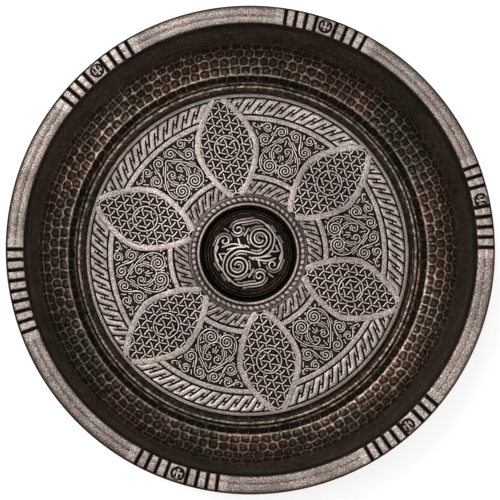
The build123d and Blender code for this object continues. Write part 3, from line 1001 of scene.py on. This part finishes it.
scrolls = {
    "line": 0.56, "height": 0.38, "coilPitch": 1.2, "step": 0.3, "turn": 11.2,
    "strokes": (
        ((0.1, 53.8), (3.6, 50.7), (7.8, 47.2), (11.0, 43.4), (11.7, 40.0), (9.7, 37.0), (5.2, 39.2, 3.3, 2.7, 1)),
        ((0.2, 40.3), (2.8, 41.2), (5.2, 43.6), (5.7, 46.3), (4.5, 48.8), (2.5, 47.4, 1.6, 1.2, -1)),
        ((3.4, 55.0, 2.35, 1.9, 1), (10.4, 50.4, 2.35, 1.8, -1)),
        ((9.9, 56.1, 1.8, 1.3, 1), (14.2, 55.4), (15.8, 56.9, 0.9, 0.7, -1)),
    ),
    "leaves": (
        ((1.6, 43.2), (0.7, 45.2), 1.2), ((9.6, 43.6), (7.4, 42.0), 1.3), ((7.5, 49.9), (6.6, 52.3), 1.2),
        ((2.2, 36.9), (0.9, 38.4), 1.1), ((12.6, 38.0), (14.0, 36.7), 1.3), ((10.4, 36.6), (12.2, 36.2), 1.0),
        ((13.3, 46.8), (13.6, 49.6), 1.2), ((13.9, 52.2), (15.2, 54.4), 1.2), ((13.2, 41.6), (13.6, 39.8), 1.1),
        ((6.5, 57.4), (7.3, 55.4), 1.1), ((12.6, 57.3), (12.9, 55.9), 1.0), ((16.4, 54.7), (18.0, 56.6), 1.1),
    ),
    "middleLeaves": (((0.0, 41.9), (0.0, 44.8), 1.7), ((0.0, 49.4), (0.0, 52.2), 1.3), ((0.0, 36.7), (0.0, 38.4), 1.3)),
    "echoes": (0.88, 1.76, 2.64), "echoRoom": 0.82, "echoWidth": 0.72, "echoWear": 0.92, "echoPoints": 2,
    "groundWear": 0.17, "groundGap": 0.6, "groundDepth": 0.14, "groundSteps": (85, 55),
}


def coil(look, centre, size, turns, touch, way):
    # From the outside in
    sweep = 2 * math.pi * turns
    count = max(6, round(sweep * size * 0.65 / look["step"]))
    points = []
    for n in range(count + 1):
        share = n / count
        radius = size - look["coilPitch"] * turns * share
        angle = touch + way * sweep * share
        points.append((centre.x + radius * math.cos(angle), centre.y + radius * math.sin(angle)))
    return points


def touchPoint(other, centre, size, way):
    # Direction from the coil's centre in which a straight line from the other place touches it
    gap = centre - other
    lean = math.asin(min(0.999, size / gap.length))
    return math.atan2(gap.y, gap.x) - way * (lean + math.pi / 2)


def strokePath(look, stroke):
    places = [Vector(turned(part[1], part[0])[:2]) for part in stroke]
    first, last = stroke[0], stroke[-1]
    start, end = [tuple(places[0])], [tuple(places[-1])]
    if len(first) > 2 and len(last) > 2 and len(stroke) == 2:
        gap = places[1] - places[0]
        lean = math.asin((last[4] * last[2] - first[4] * first[2]) / gap.length)
        heading = math.atan2(gap.y, gap.x) - lean
        start = coil(look, places[0], first[2], first[3], heading - first[4] * math.pi / 2, -first[4])[::-1]
        end = coil(look, places[1], last[2], last[3], heading - last[4] * math.pi / 2, last[4])
    else:
        if len(first) > 2:
            touch = touchPoint(places[1], places[0], first[2], -first[4])
            start = coil(look, places[0], first[2], first[3], touch, -first[4])[::-1]
        if len(last) > 2:
            end = coil(look, places[-1], last[2], last[3], touchPoint(places[-2], places[-1], last[2], last[4]), last[4])
    knots = start[-2:] + [tuple(place) for place in places[1:-1]] + end[:2]
    skipped = len(start[-2:]) - 1
    middle = []
    for n in range(skipped, len(knots) - len(end[:2])):
        before, a, b, after = (knots[min(max(k, 0), len(knots) - 1)] for k in (n - 1, n, n + 1, n + 2))
        steps = max(1, round(math.dist(a, b) / look["step"] / 1.6))
        for k in range(1, steps):
            middle.append(smoothPoint(before, a, b, after, k / steps))
        if n + 1 < len(knots) - len(end[:2]):
            middle.append(b)
    return start + middle + end


def smoothPoint(before, a, b, after, t):
    return tuple(
        0.5 * (2 * q + (r - p) * t + (2 * p - 5 * q + 4 * r - s) * t**2 + (3 * q - p - 3 * r + s) * t**3)
        for p, q, r, s in zip(before, a, b, after)
    )


def leafLine(start, end, thickness):
    a, b = turned(start[1], start[0])[:2], turned(end[1], end[0])[:2]
    middle = ((a[0] + b[0]) / 2, (a[1] + b[1]) / 2)
    return [(*a, 0.4), (*middle, thickness), (*b, 0.4)]


# More lines beside the given ones, at each of the distances, wherever there is room for them
def echoLines(lines, look, inside):
    drawn = np.array([point[:2] for line in lines for point in line])
    echoes = []
    for distance in look["echoes"]:
        for line in lines:
            for side in (distance, -distance):
                runs = [[]]
                taken = np.array([point[:2] for echo in echoes for point in echo] or [(1e3, 1e3)])
                for before, here, after in zip(line, line[1:], line[2:]):
                    along = Vector(after[:2]) - Vector(before[:2])
                    place = Vector(here[:2]) + Vector((-along.y, along.x)).normalized() * side
                    toLines = np.hypot(*(drawn - place).T).min()
                    toEchoes = np.hypot(*(taken - place).T).min()
                    if inside(*place) and toLines > distance * 0.97 and toEchoes > look["echoRoom"]:
                        if not runs[-1] or math.dist(place, runs[-1][-1][:2]) > look["step"]:
                            runs[-1].append((*place, look["echoWidth"]))
                    elif runs[-1]:
                        runs.append([])
                echoes += [run for run in runs if len(run) > look["echoPoints"]]
    return echoes


def mirrored(lines):
    return [[(point[0], -point[1], *point[2:]) for point in line] for line in lines]


# A slab with a fine top, between rows of as many points each. Its rim is low, so that a dark
# line is left round it.
def groundSlab(name, rows, height, sink=0.15):
    deep, wide = len(rows), len(rows[0])
    places = []
    for i, row in enumerate(rows):
        for j, (x, y) in enumerate(row):
            onRim = i in (0, deep - 1) or j in (0, wide - 1)
            places.append((x * mm, y * mm, 0.0 if onRim else height * mm))
    rim = [*range(wide), *(i * wide + wide - 1 for i in range(1, deep))]
    rim += [(deep - 1) * wide + j for j in range(wide - 2, -1, -1)] + [i * wide for i in range(deep - 2, 0, -1)]
    corners = [i * wide + j for i in range(deep - 1) for j in range(wide - 1)]
    faces = [(corner, corner + wide, corner + wide + 1, corner + 1) for corner in corners]
    low = len(places)
    places += [(places[n][0], places[n][1], -sink * mm) for n in rim]
    for n in range(len(rim)):
        k = (n + 1) % len(rim)
        faces.append((rim[n], rim[k], low + k, low + n))
    left = [low + 2 * (wide + deep) - 4 - i for i in range(deep)]
    right = [low + wide - 1 + i for i in range(deep)]
    faces.append((*range(low, low + wide), right[1], left[1]))
    faces += [(left[i], right[i], right[i + 1], left[i + 1]) for i in range(1, deep - 2)]
    faces.append((left[-2], right[-2], *range(right[-1], left[-2])))
    reaches = [1.0] * low + [0.0] * len(rim)
    return newPiece(name, places, faces=faces, wear=[1.0] * len(places), reach=reaches)


# Inner and outer radius of a field, and half its angle at a radius, when it keeps off the straps
def fieldRadii(gap):
    low, high = (straps[key] for key in ("innerRadius", "outerRadius"))
    return low + straps["width"] / 2 + gap, high - straps["width"] / 2 - gap


def fieldReach(radius, gap):
    edge = math.asin((petalHalfWidth(radius, 0) + petal["strapWidth"] + gap) / radius)
    return math.pi / petal["count"] - edge


def fieldRows():
    low, high = fieldRadii(0.1)
    deep, wide = scrolls["groundSteps"]
    rows = []
    for i in range(deep + 1):
        radius = low + (high - low) * i / deep
        reach = math.degrees(fieldReach(radius, 0.1))
        rows.append([turned(radius, reach * (j / wide - 1))[:2] for j in range(2 * wide + 1)])
    return rows


def inField(x, y):
    radius = math.hypot(x, y)
    low, high = fieldRadii(0.45)
    return low < radius < high and abs(math.atan2(y, x)) < fieldReach(radius, 0.45)


# Scrolls and the boss's arabesque: lines, finer lines beside them, and ground set down round both.
# The unit is what goes round the axis, and the whole is what the finer lines keep off.
def buildOrnament(names, unit, whole, inside, surface, look, values, ground, beside):
    echoes = echoLines(whole, values, inside)
    strike(
        ground, groundTree, chasedCopper, values["groundGap"], values["groundDepth"],
        Marks=(marks := flatLines(names[0] + "Marks", whole + echoes)),
    )
    settle(ground, marks)
    lines = layOnFloor(flatLines(names[1], unit), surface, look)
    finer = layOnFloor(flatLines(names[2], echoes), surface, look | beside | {"highWear": values["echoWear"]})
    layOnFloor(ground, surface, look | beside | {
        "height": values["groundDepth"], "highWear": values["groundWear"],
    }, lines=False)
    return [lines, finer, ground]


def buildScrolls():
    half = [strokePath(scrolls, stroke) for stroke in scrolls["strokes"]]
    half += [leafLine(*leaf) for leaf in scrolls["leaves"]]
    whole = half + mirrored(half) + [leafLine(*leaf) for leaf in scrolls["middleLeaves"]]
    look = floorLook | {
        "width": scrolls["line"], "height": scrolls["height"], "edge": 0.16, "turn": scrolls["turn"],
        "highWear": 1.04, "wobble": 0.1, "wobbleSize": 3,
    }
    ground = groundSlab("scrollGround", fieldRows(), scrolls["groundDepth"])
    names = ("scroll", "scrollwork", "scrollEchoes")
    return buildOrnament(names, whole, whole, inField, floorPlate, look, scrolls, ground, {})


floorWork = buildStrapwork() + buildLattice() + buildKeys() + buildScrolls()
print("floor chased")


# Bead at the foot of the riser

bead = {"innerRadius": 71.4, "shoulderWidth": 0.6, "shoulderHeight": 0.6, "width": 2.2, "height": 1.5, "base": 1.15}


def buildBead():
    inner = bead["innerRadius"]
    stepRadius = inner + bead["shoulderWidth"]
    outer = stepRadius + bead["width"]
    low = bead["base"]
    shoulder = low + bead["shoulderHeight"]
    line = [(inner, low), (outer, low), (outer, shoulder)]
    line += arcPoints((outer, shoulder), (stepRadius + bead["width"] / 2, low + bead["height"]), (stepRadius, shoulder), 12)
    line += [(inner + 0.15, shoulder), (inner, shoulder - 0.15)]
    rows = []
    for radius, height in line:
        wear = 0.1 + 0.62 * max(0.0, (height - shoulder) / (bead["height"] - bead["shoulderHeight"]))
        if radius < stepRadius and height > low + 0.3:
            wear = 0.4
        if radius > outer - 0.4:
            wear = 0.0
        rows.append((radius, height, plate["columns"], wear))
    piece = turnedMesh("floorBead", rows, evenAngles(plate["columns"]))
    piece.data.materials.append(hammeredCopper)
    return piece


floorBead = buildBead()


# Boss and its collar

boss = {"radius": 19.4, "height": 12, "sheet": 0.9, "flange": 5.6, "landTop": 6.05, "film": 0.15, "columns": 240,
    "wear": 0.34, "ringWear": 0.34, "ringSpacing": 1.3,
}
collar = {
    "gap": 1.5, "lipWidth": 1.15, "lipHeight": 1.4, "grooveWidth": 0.4, "floorHeight": 0.4,
    "ropeWidth": 2.35, "ropeHeight": 1.1, "ledge": 0.9, "cuts": 60, "cutRadius": 0.55, "cutDepth": 0.25, "columns": 720,
}


def spherePoints(size, centre, fromRadius, toRadius, count):
    a = math.asin(fromRadius / size)
    b = math.asin(toRadius / size)
    turns = [a + (b - a) * n / count for n in range(count + 1)]
    return [(size * math.sin(t), centre + size * math.cos(t)) for t in turns]


def buildBoss():
    outerSize = (boss["radius"] ** 2 + boss["height"] ** 2) / (2 * boss["height"])
    innerSize = outerSize - boss["sheet"]
    centre = boss["landTop"] + boss["height"] - outerSize
    innerRadius = boss["radius"] - boss["sheet"]
    flangeTop = boss["landTop"] - plate["sheet"] - boss["film"]
    flangeLow = flangeTop - boss["sheet"]
    edge = boss["radius"] + boss["flange"]
    line = spherePoints(innerSize, centre, 0, innerRadius, 24)
    line += [(innerRadius, flangeLow + 0.2), (innerRadius + 0.2, flangeLow)]
    line += [(edge, flangeLow), (edge, flangeTop), (boss["radius"], flangeTop)]
    line += spherePoints(outerSize, centre, boss["radius"], 0, 72)
    rows = []
    for n, (radius, height) in enumerate(line):
        ripple = math.sin(2 * math.pi * radius / boss["ringSpacing"])
        wear = boss["wear"] + boss["ringWear"] * ripple if n > 29 else 0.35
        rows.append((radius if radius > 0.01 else 0, height, boss["columns"], wear))
    piece = turnedMesh("bossCap", rows, evenAngles(boss["columns"]), closed=False)
    piece.data.materials.append(hammeredCopper)
    return piece


def buildCollar():
    inner = boss["radius"] + collar["gap"]
    lipOuter = inner + collar["lipWidth"]
    ropeInner = lipOuter + collar["grooveWidth"]
    outer = ropeInner + collar["ropeWidth"]
    edge = outer + collar["ledge"]
    low = boss["landTop"] + boss["film"]
    floor = low + collar["floorHeight"]
    line = [(inner, low), (edge, low), (edge, floor - 0.1), (edge - 0.2, floor)]
    line += arcPoints((outer, floor), ((outer + ropeInner) / 2, low + collar["ropeHeight"]), (ropeInner, floor), 12)
    line += [((ropeInner + lipOuter) / 2, floor - 0.05)]
    line += [(lipOuter, floor)]
    line += arcPoints((lipOuter, floor), ((inner + lipOuter) / 2, low + collar["lipHeight"]), (inner, floor), 10)
    rows = []
    for radius, height in line:
        wear = 0.22 + 0.55 * max(0.0, (height - floor) / (collar["ropeHeight"] - collar["floorHeight"]))
        wear = max(min(wear, 0.74), 0.6 if radius > outer - 0.1 else 0)
        rows.append((radius, height, collar["columns"], wear, 0.5))
    piece = turnedMesh("bossCollar", rows, evenAngles(collar["columns"]))
    top = low + collar["ropeHeight"]
    lines = []
    for n in range(collar["cuts"]):
        angle = 360 * n / collar["cuts"]
        lines.append([turned(ropeInner, angle - 1, top), turned(outer, angle + 1, top)])
    cuts = lineMarks("collarCuts", lines)
    useTree(piece, grooveTree, {
        "Marks": cuts, "Mark Radius": collar["cutRadius"] * mm, "Depth": collar["cutDepth"] * mm,
        "Material": chasedCopper,
    })
    settle(piece)
    bpy.data.objects.remove(cuts)
    return piece


bossCap = buildBoss()
bossCollar = buildCollar()

# A free arabesque on the boss: two stems that coil round each other inside a wreath of smaller ones
arabesque = {
    "line": 0.8, "height": 0.4, "coilPitch": 1.75, "step": 0.34, "copies": 2, "turn": 32, "radius": 15.8,
    "strokes": (
        ((0, 0.0), (-38, 4.4), (20, 7.4, 5.1, 2.1, 1)),
        ((-92, 2.6), (-48, 6.3), (-22, 10.2), (2, 13.1), (24, 14.6)),
        ((-44, 13.4), (-18, 14.2), (34, 14.4), (60, 13.4), (82, 10.9, 2.6, 1.25, 1)),
        ((166, 13.6), (147, 14.4), (122, 11.4, 2.5, 1.2, -1)),
        ((-80, 3.9), (-58, 8.0), (-43, 11.6)),
    ),
    "leaves": (
        ((103, 14.6), (101, 12.2), 1.7), ((58, 10.4), (74, 7.2), 1.6), ((96, 7.4), (112, 4.6), 1.5),
        ((140, 9.2), (130, 6.2), 1.4), ((56, 2.0), (90, 3.6), 1.3), ((150, 11.8), (152, 8.6), 1.3),
        ((-30, 12.7), (-16, 11.9), 1.2),
    ),
    "echoes": (1.15, 2.3, 3.45), "echoRoom": 1.05, "echoWidth": 0.62, "echoWear": 0.76, "echoPoints": 2,
    "groundWear": 0.07, "groundGap": 0.85, "groundDepth": 0.14,
}


def buildArabesque():
    unit = [swelling(strokePath(arabesque, stroke)) for stroke in arabesque["strokes"]]
    unit += [leafLine(*leaf) for leaf in arabesque["leaves"]]
    around = []
    for n in range(arabesque["copies"]):
        turn = 2 * math.pi * n / arabesque["copies"]
        cos, sin = math.cos(turn), math.sin(turn)
        around += [[(x * cos - y * sin, x * sin + y * cos, thickness) for x, y, thickness in line] for line in unit]
    look = floorLook | {
        "width": arabesque["line"], "height": arabesque["height"], "edge": 0.2, "copies": arabesque["copies"],
        "turn": arabesque["turn"], "highWear": 1.04, "wobble": 0.3, "wobbleSize": 5,
    }
    ground = groundDisc("bossGround", arabesque["radius"], arabesque["groundDepth"])
    names = ("boss", "bossArabesque", "bossEchoes")
    return buildOrnament(names, unit, around, onBoss, bossCap, look, arabesque, ground, {"copies": 1})


def onBoss(x, y):
    return math.hypot(x, y) < arabesque["radius"] - 0.5


def swelling(line):
    # A stroke is broadest on the way and thin at its ends
    count = len(line) - 1
    return [(*point[:2], 0.62 + 0.5 * max(0.0, math.sin(math.pi * n / count)) ** 0.7) for n, point in enumerate(line)]


def groundDisc(name, radius, height, sink=0.15):
    rows = [(0, -sink, 480, 1.0, 0.0), (radius, -sink, 480, 1.0, 0.0), (radius, 0.0, 480, 1.0, 0.0)]
    count = round(radius / 0.2)
    for n in range(1, count + 1):
        ring = radius * (1 - n / count)
        columns = 480
        while columns > 15 and ring / columns * 2 * math.pi < 0.12:
            columns //= 2
        rows.append((ring if n < count else 0, height, columns, 1.0, 1.0))
    return turnedMesh(name, rows, evenAngles(480), closed=False)


bossWork = buildArabesque()
print("boss chased")


# What the folds hide

def plainMetal(name, look):
    material, tree = newMaterial(name)
    grain = noiseNode(tree, addNode(tree, "ShaderNodeTexCoord").outputs["Object"], look["grain"], 4.0)
    return endMetal(material, {
        "Base Color": rampNode(tree, grain, ((0.35, look["dark"]), (0.65, look["bright"]))),
        "Roughness": remap(tree, grain, (look["smooth"], look["rough"])), "Metallic": 1.0, "Bump": 0.4,
    }, grain)


# Wrought iron, black from the forge, with a few brown spots of rust
wroughtIron = plainMetal("wroughtIron", {
    "dark": "#1c1917", "bright": "#4a423c", "grain": 1.5, "smooth": 0.45, "rough": 0.75,
})
# Tin solder, wiped while hot: dull grey and a little lumpy
tinSolder = plainMetal("wipedTinSolder", {
    "dark": "#77767a", "bright": "#a3a2a4", "grain": 2.0, "smooth": 0.35, "rough": 0.6,
})

for node, material in (
    ("rim_hoop", wroughtIron), ("floor_solder", tinSolder), ("bead_solder", tinSolder),
    ("boss_solder", tinSolder), ("collar_solder", tinSolder),
):
    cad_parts[node].data.materials.clear()
    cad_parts[node].data.materials.append(material)

standsFor = (
    (bowlShell, "bowl_shell", "hammered_copper"), (rimBand, "rim_band", "rubbed_copper"),
    (floorPlate, "floor_plate", "chased_copper"), (floorBead, "floor_bead", "chased_copper"),
    (bossCap, "boss_cap", "blackened_copper"), (bossCollar, "boss_collar", "chased_copper"),
    *((piece, "floor_plate", "chased_copper") for piece in floorWork),
    *((piece, "boss_cap", "chased_copper") for piece in bossWork),
)
for piece, node, slot in standsFor:
    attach(piece, "root")
    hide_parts(node)


# Floor, light and camera

studio = {
    "floorSize": 3000, "floorColour": "#f4f4f4", "floorGlow": 0.35, "worldLight": 0.6,
    "keyPower": 9, "keySize": 900, "keyPlace": (-500, 450, 1100), "fillPower": 4, "fillPlace": (600, -500, 900),
}


def buildFloor():
    half = studio["floorSize"] / 2 * mm
    corners = [(-half, -half, 0), (half, -half, 0), (half, half, 0), (-half, half, 0)]
    floor = newPiece("studioFloor", corners, faces=[(0, 1, 2, 3)])
    material, tree = newMaterial("whiteStudioPaper")
    paper = addNode(tree, "ShaderNodeBsdfDiffuse", {"Color": linear(studio["floorColour"])})
    rays = addNode(tree, "ShaderNodeLightPath").outputs
    seen = calc(tree, "MAXIMUM", rays["Is Camera Ray"], rays["Is Glossy Ray"])
    seen = calc(tree, "MAXIMUM", seen, rays["Is Transmission Ray"])
    weak = calc(tree, "MULTIPLY", seen, studio["floorGlow"])
    glow = addNode(tree, "ShaderNodeEmission", {"Color": (1, 1, 1, 1), "Strength": weak})
    both = addNode(tree, "ShaderNodeAddShader", {0: paper, 1: glow})
    addNode(tree, "ShaderNodeOutputMaterial", {"Surface": both})
    floor.data.materials.append(material)


def buildWorld():
    world = bpy.data.worlds.new("softStudio")
    bpy.context.scene.world = world
    world.use_nodes = True
    tree = world.node_tree
    tree.nodes.clear()
    rays = addNode(tree, "ShaderNodeLightPath").outputs
    seen = calc(tree, "MAXIMUM", rays["Is Camera Ray"], rays["Is Transmission Ray"])
    strength = remap(tree, seen, (studio["worldLight"], 1.0))
    light = addNode(tree, "ShaderNodeBackground", {"Color": (1, 1, 1, 1), "Strength": strength})
    addNode(tree, "ShaderNodeOutputWorld", {"Surface": light})


def addSoftbox(name, place, power):
    lamp = bpy.data.lights.new(name, "AREA")
    lamp.shape = "SQUARE"
    lamp.size = studio["keySize"] * mm
    lamp.energy = power
    box = bpy.data.objects.new(name, lamp)
    box.location = Vector(place) * mm
    box.rotation_euler = (Vector((0, 0, 0)) - box.location).to_track_quat("-Z", "Y").to_euler()
    bpy.context.scene.collection.objects.link(box)


view = {
    "distance": 750, "aim": (-0.6, -0.8), "aside": -23.6, "towards": -41.2,
    "pixelsPerMillimetre": 2.455, "frameWidth": 500, "sensor": 36,
}


def buildCamera():
    rimHeight = cadBox[1][2]
    target = Vector((view["aim"][0] * mm, view["aim"][1] * mm, rimHeight))
    up = math.sqrt(view["distance"] ** 2 - view["aside"] ** 2 - view["towards"] ** 2)
    camera = bpy.data.objects.new("camera", bpy.data.cameras.new("camera"))
    camera.location = target + Vector((view["aside"], view["towards"], up)) * mm
    back = (camera.location - target).normalized()
    right = Vector((0, 1, 0)).cross(back).normalized()
    camera.rotation_euler = Matrix((right, back.cross(right), back)).transposed().to_euler()
    camera.data.sensor_width = view["sensor"]
    camera.data.lens = view["pixelsPerMillimetre"] * view["distance"] * view["sensor"] / view["frameWidth"]
    bpy.context.scene.collection.objects.link(camera)
    bpy.context.scene.camera = camera


buildFloor()
buildWorld()
addSoftbox("keySoftbox", studio["keyPlace"], studio["keyPower"])
addSoftbox("fillSoftbox", studio["fillPlace"], studio["fillPower"])
buildCamera()
bpy.context.scene.view_settings.view_transform = "Standard"
print("studio set")
